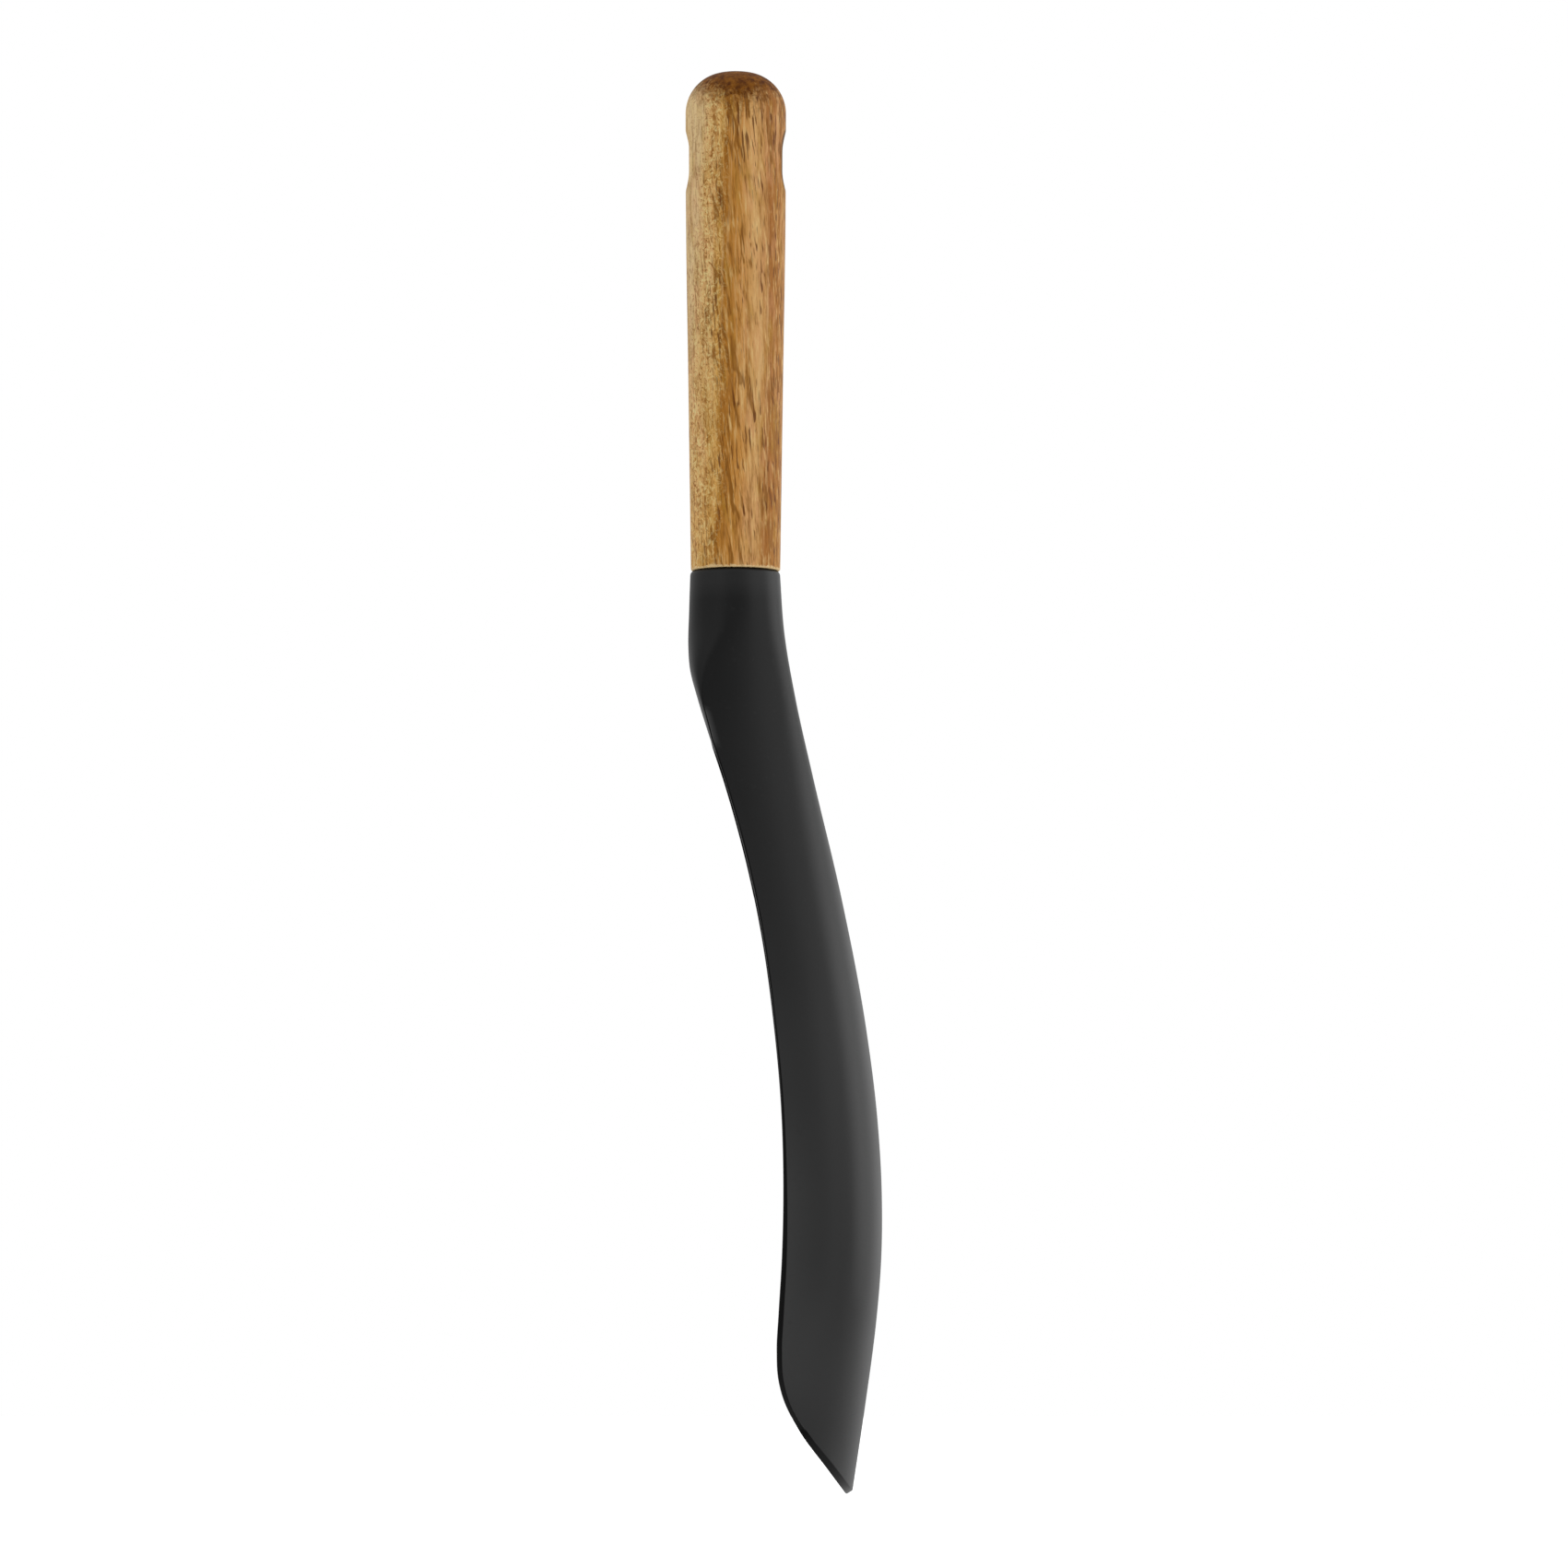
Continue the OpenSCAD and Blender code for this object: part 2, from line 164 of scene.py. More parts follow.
def outline(t):
    """Half width inside the lip, seen from the front, at a depth."""
    if t < TIP_START:
        return width_line(t)
    share = (t - TIP_START) / (LENGTH - TIP_START)
    return HALF_WIDTH * max(0.0, 1 - share ** TIP_POWER) ** (1 / SIDE_POWER)


def outline_depth(y):
    """Depth of the tip's outline at a half width."""
    share = max(0.0, 1 - (abs(y) / HALF_WIDTH) ** SIDE_POWER)
    return TIP_START + (LENGTH - TIP_START) * share ** (1 / TIP_POWER)


CORNER_HALF = outline(LENGTH - CORNER_RISE)


def trail(t):
    """How far a section's ends trail behind its middle, so that the last section is the tip's edge."""
    return CORNER_RISE * (max(0.0, t - TRAIL_START) / (LENGTH - TRAIL_START)) ** 2


def pole_x(t):
    """Where the section is widest: in its middle at the collar, then moving to the front."""
    return mix((back_line(t) + rim_line(t)) / 2, rim_line(t - trail(t)), ease(8, 31, t))


def opening(t):
    """Share of the way from the neck's bulging front to the open trough."""
    return ease(26, 60, t)


def superellipse(s, exponent):
    """How far across and how deep a point is, at s from 0 in the middle to 1 at the side."""
    power = 2 / exponent
    across = math.copysign(abs(math.sin(math.radians(90 * s))) ** power, s)
    deep = abs(math.cos(math.radians(90 * s))) ** power
    return across, deep


def reference(t, s):
    """The surface LIP under the outside, at depth t on the middle plane. s is 0 there, 1 at the lip."""
    across, deep = superellipse(s, square_line(t))
    edge_depth = outline_depth(CORNER_HALF * across)
    trail_share = (LENGTH - edge_depth) / CORNER_RISE
    back = back_line(t)
    pole = pole_x(t)
    rim_x = rim_line(edge_depth)
    tip_share = (TIP_X - rim_x) / (TIP_X - rim_line(LENGTH - CORNER_RISE))
    section_x = mix(pole, back, deep)
    edge_x = mix(back, pole, tip_share)
    x = mix(section_x, edge_x, ease(160, LENGTH, t))
    return Vector((x, outline(t - trail(t)) * across, t - trail(t) * trail_share))


def normal(t, s):
    """Outward normal of the reference surface, level in the neck."""
    low_t = clamp(t - DEPTH_STEP, 0, LENGTH)
    high_t = clamp(t + DEPTH_STEP, 0, LENGTH)
    low_s = clamp(s - SIDE_STEP, -1, 1)
    high_s = clamp(s + SIDE_STEP, -1, 1)
    a = reference(high_t, high_s) - reference(low_t, low_s)
    b = reference(low_t, high_s) - reference(high_t, low_s)
    n = b.cross(a).normalized()
    n.z *= ease(20, NECK_END, t)
    return n.normalized()


def walk(q):
    """The (t, s) of a place on the lip: down one side, then along the tip to its middle."""
    return (q, 1.0) if q <= LENGTH else (LENGTH, 1 - (q - LENGTH) / TIP_REACH)


def edge_out(q):
    """Direction out of the surface across its edge."""
    along = reference(*walk(q + EDGE_STEP)) - reference(*walk(max(0.0, q - EDGE_STEP)))
    return along.cross(normal(*walk(q))).normalized()


def wall(t, s):
    """Thickness of the bowl with its core, from the lip's at the side to the floor's in the middle."""
    middle = back_line(t) - floor_line(t) + LIP
    return mix(2 * LIP, middle, 1 - abs(s) ** 4)


def trough_point(t, s):
    """The front of the bowl near the neck, where it is a trough."""
    across, deep = superellipse(s, square_line(t))
    return Vector((mix(pole_x(t), floor_line(t), deep), (outline(t) - LIP) * across, t))


def inner_point(t, s):
    """The front of the bowl: the neck's trough, then a wall of known thickness."""
    even = reference(t, s) - normal(t, s) * (wall(t, s) - LIP)
    return trough_point(t, s).lerp(even, ease(45, 85, t))


def front_x(t):
    """The neck's front on the middle plane."""
    slope = rim_line(t + 0.5) - rim_line(max(0.0, t - 0.5))
    return rim_line(t) - LIP * math.sqrt(1 + slope * slope)


def neck_point(t, angle):
    """The neck's front, from 0 degrees at the side to 90 in the middle. It is flatter lower down."""
    pole = pole_x(t)
    bulge, side = superellipse(angle / 90, mix(2, 4, ease(12, 32, t)))
    return Vector((pole - (pole - front_x(t)) * bulge, (outline(t) + LIP) * side, t))


# ---------------------------------------------------------------- the head's mesh

# Points on half of a section: the back's arc, the lip's three corners, and the front's arc
ARC = 30
CORNER_STEPS = 4
LIP_COUNT = 3 * (CORNER_STEPS + 1)
HALF_COUNT = 2 * ARC + LIP_COUNT
COUNT = 2 * HALF_COUNT - 2
# Angle round the neck's front that the lip's points take, before the lip stands out
SIDE_ANGLE = 25
# Spacing of the sections, fine in the neck and from TIP_TURN on. It stops at LAST_GAP from the tip.
FINE_STEP = 0.9
COARSE_STEP = 1.3
TIP_TURN = 150
LAST_GAP = 1.6


def rounded_corner(before, corner, after, radius):
    """Points on a small arc that replaces a corner."""
    before, corner, after = Vector(before), Vector(corner), Vector(after)
    start = corner + (before - corner).normalized() * min(radius, (before - corner).length / 2)
    end = corner + (after - corner).normalized() * min(radius, (after - corner).length / 2)
    steps = [i / CORNER_STEPS for i in range(CORNER_STEPS + 1)]
    return [start.lerp(corner, k).lerp(corner.lerp(end, k), k) for k in steps]


def lip_profile(q):
    """The lip's cut outline as (out, beyond): a bevel on its outer side that grows towards the tip."""
    bevel = 0.25 + 0.75 * ease(95, 165, q)
    outer = (LIP, mix(LIP, -0.05, bevel))
    nose = (mix(LIP, -0.25, bevel), LIP)
    inner = (-LIP, mix(LIP, 0.3, ease(188, 204, q)))
    points = rounded_corner((LIP, -LIP), outer, nose, 0.18)
    points += rounded_corner(outer, nose, inner, 0.35)
    points += rounded_corner(nose, inner, (-LIP, -LIP), 0.5)
    return points


def lip_points(q):
    """The lip's outline at a place on the lip."""
    place = reference(*walk(q))
    out = normal(*walk(q))
    beyond = edge_out(q)
    return [place + out * p[0] + beyond * p[1] for p in lip_profile(q)]


def half_section(t):
    """From the middle of the back, round the lip, to the middle of the front."""
    points = [reference(t, i / ARC) + normal(t, i / ARC) * LIP for i in range(ARC)]
    open_share = opening(t)
    lips = lip_points(t) if open_share > 0 else [Vector()] * LIP_COUNT
    for i in range(LIP_COUNT):
        points.append(neck_point(t, SIDE_ANGLE * (i + 0.5) / LIP_COUNT).lerp(lips[i], open_share))
    for i in reversed(range(ARC)):
        inner = inner_point(t, i / ARC) if open_share > 0 else Vector()
        points.append(neck_point(t, 90 - (90 - SIDE_ANGLE) * i / ARC).lerp(inner, open_share))
    if t < NECK_END:
        back = points[0].x
        front = min(p.x for p in points)
        k = (back - front_x(t)) / (back - front)
        for p in points:
            p.x = back + (p.x - back) * k
    shoulder = max(0.0, 1 - t / COLLAR_ROUND)
    scale = 1 - COLLAR_ROUND * (1 - math.sqrt(1 - shoulder * shoulder)) / COLLAR_RADIUS
    return [Vector((p.x * scale, p.y * scale, p.z)) for p in points]


def whole(half):
    """A section from its half."""
    return half + [Vector((p.x, -p.y, p.z)) for p in reversed(half[1:-1])]


def core_section(t):
    """The socket's section: round at the joint, then a blade inside the bowl's wall."""
    middle = (back_line(t) + rim_line(t)) / 2 * ease(0, 30, t)
    points = []
    for i in range(HALF_COUNT):
        a = math.pi * i / (HALF_COUNT - 1)
        shank = Vector((middle + CORE_SHANK * math.cos(a), CORE_SHANK * math.sin(a), t))
        s = CORE_SPAN * min(1.0, i / ARC, (HALF_COUNT - 1 - i) / ARC)
        outside = reference(t, s)
        inside = inner_point(t, s)
        inside = inside + (outside - inside).normalized() * COVER
        blade = outside.lerp(inside, clamp((i - ARC) / LIP_COUNT, 0, 1))
        points.append(shank.lerp(blade, ease(22, 52, t)))
    return whole(points)


def add_ring(bm, points):
    """Vertices at points of the head, given as (x, y, depth)."""
    return [bm.verts.new((p.x * MM, p.y * MM, JOINT_Z - p.z * MM)) for p in points]


def mark_lip_painted_light(verts, q, layers):
    """Marks the lip for the material: a painted shade along its edge and the neck's front, and a short
    painted highlight line near the neck.

    verts are the last one of the outer arc, the lip's outline and the front of the neck.
    """
    painted_shade, painted_highlight = layers
    # Painted shade along the lip and part of the neck's front, fading near the tip; a painted highlight
    # on a short line near the neck.
    shade_along = ease(22, 36, q) * (1 - 0.3 * ease(200, 212, q) - 0.5 * ease(212, 224, q))
    highlight_along = ease(30, 32, q) * (1 - ease(37, 40, q))
    neck_share = 0.75 * (1 - ease(44, 76, q))
    for i, vert in enumerate(verts, -1):
        vert[painted_shade] = ease(0, 3, i) * shade_along
        vert[painted_highlight] = ease(-1, 1, i) * (1 - ease(1, 3, i)) * highlight_along
        if i >= LIP_COUNT:
            vert[painted_shade] *= neck_share


def add_face(bm, corners, flip=False):
    """A face through corners, some of which may be the same vertex."""
    corners = list(dict.fromkeys(corners))
    if flip:
        corners.reverse()
    if len(corners) > 2:
        bm.faces.new(corners)


def join_rings(bm, first, second, flip=False):
    """A strip of faces between two rings."""
    count = len(first)
    for i in range(count):
        j = (i + 1) % count
        add_face(bm, (first[i], first[j], second[j], second[i]), flip)


def close_ring(bm, ring, flip=False):
    """Strips across a ring from its back to its front."""
    for i in range((HALF_COUNT - 1) // 2):
        j = HALF_COUNT - 1 - i
        quads = (
            (ring[i], ring[i + 1], ring[j - 1], ring[j]),
            (ring[(COUNT - i) % COUNT], ring[COUNT - j], ring[COUNT - j + 1], ring[COUNT - i - 1]),
        )
        add_face(bm, quads[0], flip)
        add_face(bm, quads[1], not flip)


def close_tip(bm, ring, layers):
    """The lip along the tip, between the last ring's two arcs."""
    columns = []
    for j in range(ARC, -ARC - 1, -1):
        if j == ARC:
            columns.append(ring[ARC - 1:ARC + LIP_COUNT + 1])
        elif j == -ARC:
            low = COUNT - ARC - LIP_COUNT
            columns.append(list(reversed(ring[low:low + LIP_COUNT + 2])))
        else:
            q = LENGTH + (1 - abs(j) / ARC) * TIP_REACH
            side = 1 if j >= 0 else -1
            points = [Vector((p.x, p.y * side, p.z)) for p in lip_points(q)]
            outer = ring[j] if j >= 0 else ring[COUNT + j]
            inner = ring[HALF_COUNT - 1 - j] if j >= 0 else ring[COUNT - HALF_COUNT + 1 - j]
            lip = add_ring(bm, points)
            mark_lip_painted_light([outer] + lip, q, layers)
            columns.append([outer] + lip + [inner])
    for a, b in zip(columns, columns[1:]):
        for k in range(LIP_COUNT + 1):
            add_face(bm, (a[k], a[k + 1], b[k + 1], b[k]))


def stations():
    """Depths of the head's sections, closer where the shape turns."""
    result = [0, 0.04, 0.12, 0.25, 0.45, 0.7, COLLAR_ROUND]
    while result[-1] < LENGTH - LAST_GAP:
        fine = result[-1] < NECK_END or result[-1] > TIP_TURN
        result.append(result[-1] + (FINE_STEP if fine else COARSE_STEP))
    return result + [LENGTH - FINE_STEP]


def finish_mesh(bm, name):
    mesh = bpy.data.meshes.new(name)
    bmesh.ops.recalc_face_normals(bm, faces=bm.faces)
    for face in bm.faces:
        face.smooth = True
    bm.to_mesh(mesh)
    bm.free()
    obj = bpy.data.objects.new(name, mesh)
    bpy.context.scene.collection.objects.link(obj)
    return obj


def weighted_normals(obj):
    modifier = obj.modifiers.new("even_normals", "WEIGHTED_NORMAL")
    modifier.keep_sharp = True
    modifier.weight = 60


def make_head():
    bm = bmesh.new()
    layers = [bm.verts.layers.float.new(name) for name in ("lip_painted_shade", "lip_painted_highlight")]
    rings = [add_ring(bm, whole(half_section(t))) for t in stations()]
    for ring, t in zip(rings, stations()):
        mark_lip_painted_light(ring[ARC - 1:HALF_COUNT], t, layers)
        mark_lip_painted_light([ring[COUNT - i] for i in range(ARC - 1, HALF_COUNT - 1)], t, layers)
    for upper, lower in zip(rings, rings[1:]):
        join_rings(bm, upper, lower)
    close_tip(bm, rings[-1], layers)
    depths = [0, 6, 12, 17, 22] + list(range(26, int(CORE_END) - 1, 4)) + [CORE_END]
    socket = [add_ring(bm, core_section(t)) for t in depths]
    join_rings(bm, rings[0], socket[0], flip=True)
    for upper, lower in zip(socket, socket[1:]):
        join_rings(bm, upper, lower, flip=True)
    close_ring(bm, socket[-1], flip=True)
    obj = finish_mesh(bm, "silicone_skin")
    weighted_normals(obj)
    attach(obj, "root")
    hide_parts("silicone_head")
    return obj


# ---------------------------------------------------------------- the handle's mesh

# Points round the handle
TURN = 160
# Half the height of the band of surface that holds the slot's mouths
SLOT_BAND = 9.0
SLOT_RADIUS = 3.0
# Distance of the slot's round ends from its centre
SLOT_HALF = 2.5
# Size of the mouths' rounded edge, across the surface, and how deep it goes as a share of that
FILLET = 1.45
FILLET_DEPTH = 1.1
DOME_FLAT = 2.0
DOME_ROUND = 9.0
END_RADIUS = 9.74
END_ROUND = 0.45
HANDLE_LOW = JOINT_Z / MM
DOME_FOOT = HANDLE_TOP / MM - DOME_ROUND
# Heights above the joint of the first plain ring, and of the rings that are spaced evenly from there
FIRST_RING = 1.6
EVEN_RINGS = 3.5
DOME_STEPS = 32
END_STEPS = 6
BAND_ROWS = 20
BAND_STEPS = 14
FILLET_STEPS = 8
PASSAGE_STEPS = 12
BORE_STEPS = 10
LOWER_STEPS = 60
# Vertices closer than this are merged, in metres
MERGE = 0.00002

handle_line = Curve(
    (HANDLE_LOW + END_ROUND, END_RADIUS), (-50, 10.33), (-10, 10.92), (0, 10.97), (DOME_FOOT, 11),
)


def dome_profile():
    """From the dome's foot to its top, as (radius, height) in mm."""
    points = []
    for i in range(1, DOME_STEPS + 1):
        a = math.radians(90 * i / DOME_STEPS)
        points.append((DOME_FLAT + DOME_ROUND * math.cos(a), DOME_FOOT + DOME_ROUND * math.sin(a)))
    return points


def end_profile():
    """The lower end, from the bore's mouth to the outside, with its edge eased over."""
    points = [(radius, HANDLE_LOW) for radius in (BORE_RADIUS / MM, 6, 8.4)]
    centre_radius = END_RADIUS - END_ROUND
    centre_height = HANDLE_LOW + END_ROUND
    for i in range(END_STEPS + 1):
        a = math.radians(-90 + 90 * i / END_STEPS)
        points.append((centre_radius + END_ROUND * math.cos(a), centre_height + END_ROUND * math.sin(a)))
    return points


def lower_profile():
    """The bore, the lower end, and the outside up to the slot's band, as (radius, height) in mm."""
    bore_radius = BORE_RADIUS / MM
    bore_top = BORE_TOP / MM
    start = HANDLE_LOW + EVEN_RINGS
    heights = [start + (-SLOT_BAND - start) * i / LOWER_STEPS for i in range(LOWER_STEPS + 1)]
    points = [(0, bore_top), (bore_radius, bore_top)]
    points += [(bore_radius, mix(bore_top, HANDLE_LOW, i / BORE_STEPS)) for i in range(1, BORE_STEPS)]
    points += end_profile()
    return points + [(handle_line(h), h) for h in [HANDLE_LOW + FIRST_RING] + heights]


def upper_profile():
    """The outside from the slot's band to the dome's middle, as (radius, height) in mm."""
    top = HANDLE_TOP / MM
    heights = (SLOT_BAND, mix(SLOT_BAND, DOME_FOOT, 0.5), DOME_FOOT)
    return [(handle_line(h), h) for h in heights] + dome_profile() + [(1.0, top), (0, top)]


def turned(bm, profile):
    """A turned surface through (radius, height) points in mm. A radius of 0 makes one vertex."""
    rings = []
    for radius, height in profile:
        if radius == 0:
            rings.append([bm.verts.new((0, 0, height * MM))] * TURN)
            continue
        ring = []
        for i in range(TURN):
            a = 2 * math.pi * i / TURN
            x, y = radius * math.cos(a), radius * math.sin(a)
            ring.append(bm.verts.new((x * MM, y * MM, height * MM)))
        rings.append(ring)
    for lower, upper in zip(rings, rings[1:]):
        join_rings(bm, lower, upper)


def slot_outline(angle, radius):
    """The point of a slot's outline in a direction from its centre, as (y, z) in mm, and its normal."""
    y, z = math.cos(angle), math.sin(angle)
    if abs(z) * radius <= SLOT_HALF * abs(y):
        side = math.copysign(1, y)
        return (side * radius, side * radius * z / y), (side, 0.0)
    end = math.copysign(SLOT_HALF, z)
    reach = end * z + math.sqrt(max(0.0, radius * radius - end * end * y * y))
    point = (reach * y, reach * z)
    return point, (point[0] / radius, (point[1] - end) / radius)


def band_border():
    """Border of half the slot's band: (angle round the handle, height), anticlockwise from +Y."""
    quarter = TURN // 4
    heights = [SLOT_BAND * i / BAND_ROWS for i in range(-BAND_ROWS, BAND_ROWS + 1)]
    turns = [math.pi / 2 * i / quarter for i in range(-quarter, quarter + 1)]
    border = [(math.pi / 2, h) for h in heights]
    border += [(a, SLOT_BAND) for a in reversed(turns[1:-1])]
    border += [(-math.pi / 2, h) for h in reversed(heights)]
    border += [(a, -SLOT_BAND) for a in turns[1:-1]]
    return border


def mouth_rim(turn, height):
    """The point of the mouth's rim that faces a point of the band's border, and its normal."""
    direction = math.atan2(height, handle_line(height) * turn)
    return slot_outline(direction, SLOT_RADIUS + FILLET)


def band_point(turn, height, share):
    """A point of the surface round the mouth, from the band's border (0) to the mouth's rim (1)."""
    y, z = mouth_rim(turn, height)[0]
    a = mix(turn, math.asin(y / handle_line(z)), share)
    h = mix(height, z, share)
    r = handle_line(h)
    return r * math.cos(a), r * math.sin(a), h


def fillet_point(turn, height, share):
    """A point of the mouth's rounded edge, from the rim (0) to the slot's wall (1)."""
    (y, z), out = mouth_rim(turn, height)
    r = handle_line(z)
    x = math.sqrt(r * r - y * y)
    rise = FILLET * out[0] * y / x
    start = Vector((x, y, z))
    corner = Vector((x + rise, y - out[0] * FILLET, z - out[1] * FILLET))
    end = corner - Vector((FILLET * FILLET_DEPTH, 0, 0))
    return start.lerp(corner, share).lerp(corner.lerp(end, share), share)


def slot_half(bm, side):
    """The band's surface round one mouth, and the mouth's rounded edge. Returns the last loop inside."""
    rows = [(band_point, (k / BAND_STEPS) ** 0.8) for k in range(BAND_STEPS + 1)]
    rows += [(fillet_point, k / FILLET_STEPS) for k in range(1, FILLET_STEPS + 1)]
    loops = []
    for find_point, share in rows:
        loop = []
        for turn, height in band_border():
            x, y, z = find_point(turn, height, share)
            loop.append(bm.verts.new((side * x * MM, y * MM, z * MM)))
        loops.append(loop)
    for outer, inner in zip(loops, loops[1:]):
        join_rings(bm, outer, inner)
    return loops[-1]


def slot_passage(bm, front, back):
    """The slot's wall between its two mouths' last loops."""
    loops = [front]
    for k in range(1, PASSAGE_STEPS):
        loops.append([bm.verts.new(a.co.lerp(b.co, k / PASSAGE_STEPS)) for a, b in zip(front, back)])
    loops.append(back)
    for previous, loop in zip(loops, loops[1:]):
        join_rings(bm, previous, loop)


def make_handle():
    bm = bmesh.new()
    turned(bm, lower_profile())
    turned(bm, upper_profile())
    front = slot_half(bm, 1)
    back = slot_half(bm, -1)
    slot_passage(bm, front, back)
    bmesh.ops.remove_doubles(bm, verts=bm.verts, dist=MERGE)
    obj = finish_mesh(bm, "turned_handle")
    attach(obj, "root")
    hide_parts("wooden_handle")
    return obj


# ---------------------------------------------------------------- materials

class Nodes:
    """Short calls for building the nodes of a material or a world."""

    def __init__(self, owner, shader="Principled BSDF"):
        owner.use_nodes = True
        self.owner = owner
        self.tree = owner.node_tree
        self.shader = self.tree.nodes[shader]

    def add(self, kind, inputs=None, **settings):
        node = self.tree.nodes.new(kind)
        for key, value in settings.items():
            setattr(node, key, value)
        for key, value in (inputs or {}).items():
            self.put(value, node.inputs[key])
        return node

    def put(self, value, socket):
        if isinstance(value, bpy.types.NodeSocket):
            self.tree.links.new(value, socket)
        else:
            socket.default_value = value

    def math(self, operation, a, b=0.0):
        return self.add("ShaderNodeMath", {0: a, 1: b}, operation=operation).outputs[0]

    def mix(self, factor, a, b, blend="MIX"):
        node = self.add("ShaderNodeMix", data_type="RGBA", blend_type=blend)
        self.put(factor, node.inputs[0])
        self.put(a, node.inputs[6])
        self.put(b, node.inputs[7])
        return node.outputs[2]

    def object_point(self):
        return self.add("ShaderNodeTexCoord").outputs["Object"]

    def place(self, scale, offset=(0, 0, 0)):
        inputs = {"Vector": self.object_point(), "Scale": scale, "Location": offset}
        return self.add("ShaderNodeMapping", inputs).outputs[0]

    def stretch(self, vector, scale):
        node = self.add("ShaderNodeVectorMath", {0: vector, 1: scale}, operation="MULTIPLY")
        return node.outputs[0]

    def axes(self):
        split = self.add("ShaderNodeSeparateXYZ", {0: self.object_point()})
        return split.outputs[0], split.outputs[1], split.outputs[2]

    def axis_of(self, vector, axis):
        return self.add("ShaderNodeSeparateXYZ", {0: vector}).outputs[axis]

    def combine(self, x, y, z):
        return self.add("ShaderNodeCombineXYZ", {0: x, 1: y, 2: z}).outputs[0]

    def combine_grey(self, value):
        return self.combine(value, value, value)

    def noise(self, vector, scale, detail=3.0, rough=0.5, distortion=0.0):
        inputs = {"Vector": vector, "Scale": scale, "Detail": detail, "Roughness": rough}
        return self.add("ShaderNodeTexNoise", {**inputs, "Distortion": distortion}).outputs[0]

    def ramp(self, value, *stops):
        node = self.add("ShaderNodeValToRGB", {"Fac": value})
        elements = node.color_ramp.elements
        while len(elements) < len(stops):
            elements.new(0.5)
        for element, (position, color) in zip(elements, stops):
            element.position = position
            element.color = color
        return node.outputs[0]

    def fade(self, value, *stops):
        """A ramp of greys, from (position, brightness) stops."""
        return self.ramp(value, *[(position, grey(level)) for position, level in stops])

    def bump(self, height, strength, distance):
        inputs = {"Height": height, "Strength": strength, "Distance": distance}
        return self.add("ShaderNodeBump", inputs).outputs[0]

    def attribute(self, name):
        return self.add("ShaderNodeAttribute", attribute_name=name).outputs["Fac"]

    def camera_ray(self):
        return self.add("ShaderNodeLightPath").outputs["Is Camera Ray"]

    def smooth_range(self, value, low, high, start, end):
        """A smooth change from start to end while value goes from low to high."""
        inputs = {0: value, 1: low, 2: high, 3: start, 4: end}
        return self.add("ShaderNodeMapRange", inputs, interpolation_type="SMOOTHSTEP").outputs[0]

    def set(self, **inputs):
        for key, value in inputs.items():
            self.put(value, self.shader.inputs[key.replace("_", " ")])
        return self.owner


def new_material(name):
    return Nodes(bpy.data.materials.new(name))


def grey(value):
    return (value, value, value, 1)


def srgb(r, g, b):
    """A colour from its usual 0 to 255 numbers."""
    linear = [
        v / 255 / 12.92 if v <= 10 else ((v / 255 + 0.055) / 1.055) ** 2.4 for v in (r, g, b)
    ]
    return (*linear, 1)


def painted_light_coats(n, x, height):
    """Painted light on the silicone: lighter along the head by height, on the bowl's wall behind its
    lip, and on the collar's edge.
    """
    along = n.fade(height, (0.08, 0.004), (0.2, 0.009), (0.5, 0.012), (0.72, 0.004), (0.85, 0))
    backward = n.math("MULTIPLY", x, 40.0)
    lip_side = n.fade(backward, (0.4, 0.034), (0.62, 0.02), (0.9, 0))
    bowl = n.fade(height, (0.04, 0), (0.12, 0.5), (0.22, 0.85), (0.32, 1), (0.43, 0.4), (0.55, 0))
    collar = n.fade(height, (0.965, 0), (0.985, 0.011))
    return along, n.mix(bowl, grey(0), lip_side), collar


def neck_front(n, height):
    """Mask of the neck's front, by the way that its surface faces; its lowered reflection there is
    painted shade.
    """
    facing = n.axis_of(n.add("ShaderNodeNewGeometry").outputs["Normal"], 0)
    forward = n.math("MULTIPLY", facing, -1.0)
    neck = n.fade(height, (0.78, 0), (0.84, 1))
    return n.math("MULTIPLY", neck, n.fade(forward, (0.3, 0), (0.95, 0.55)))


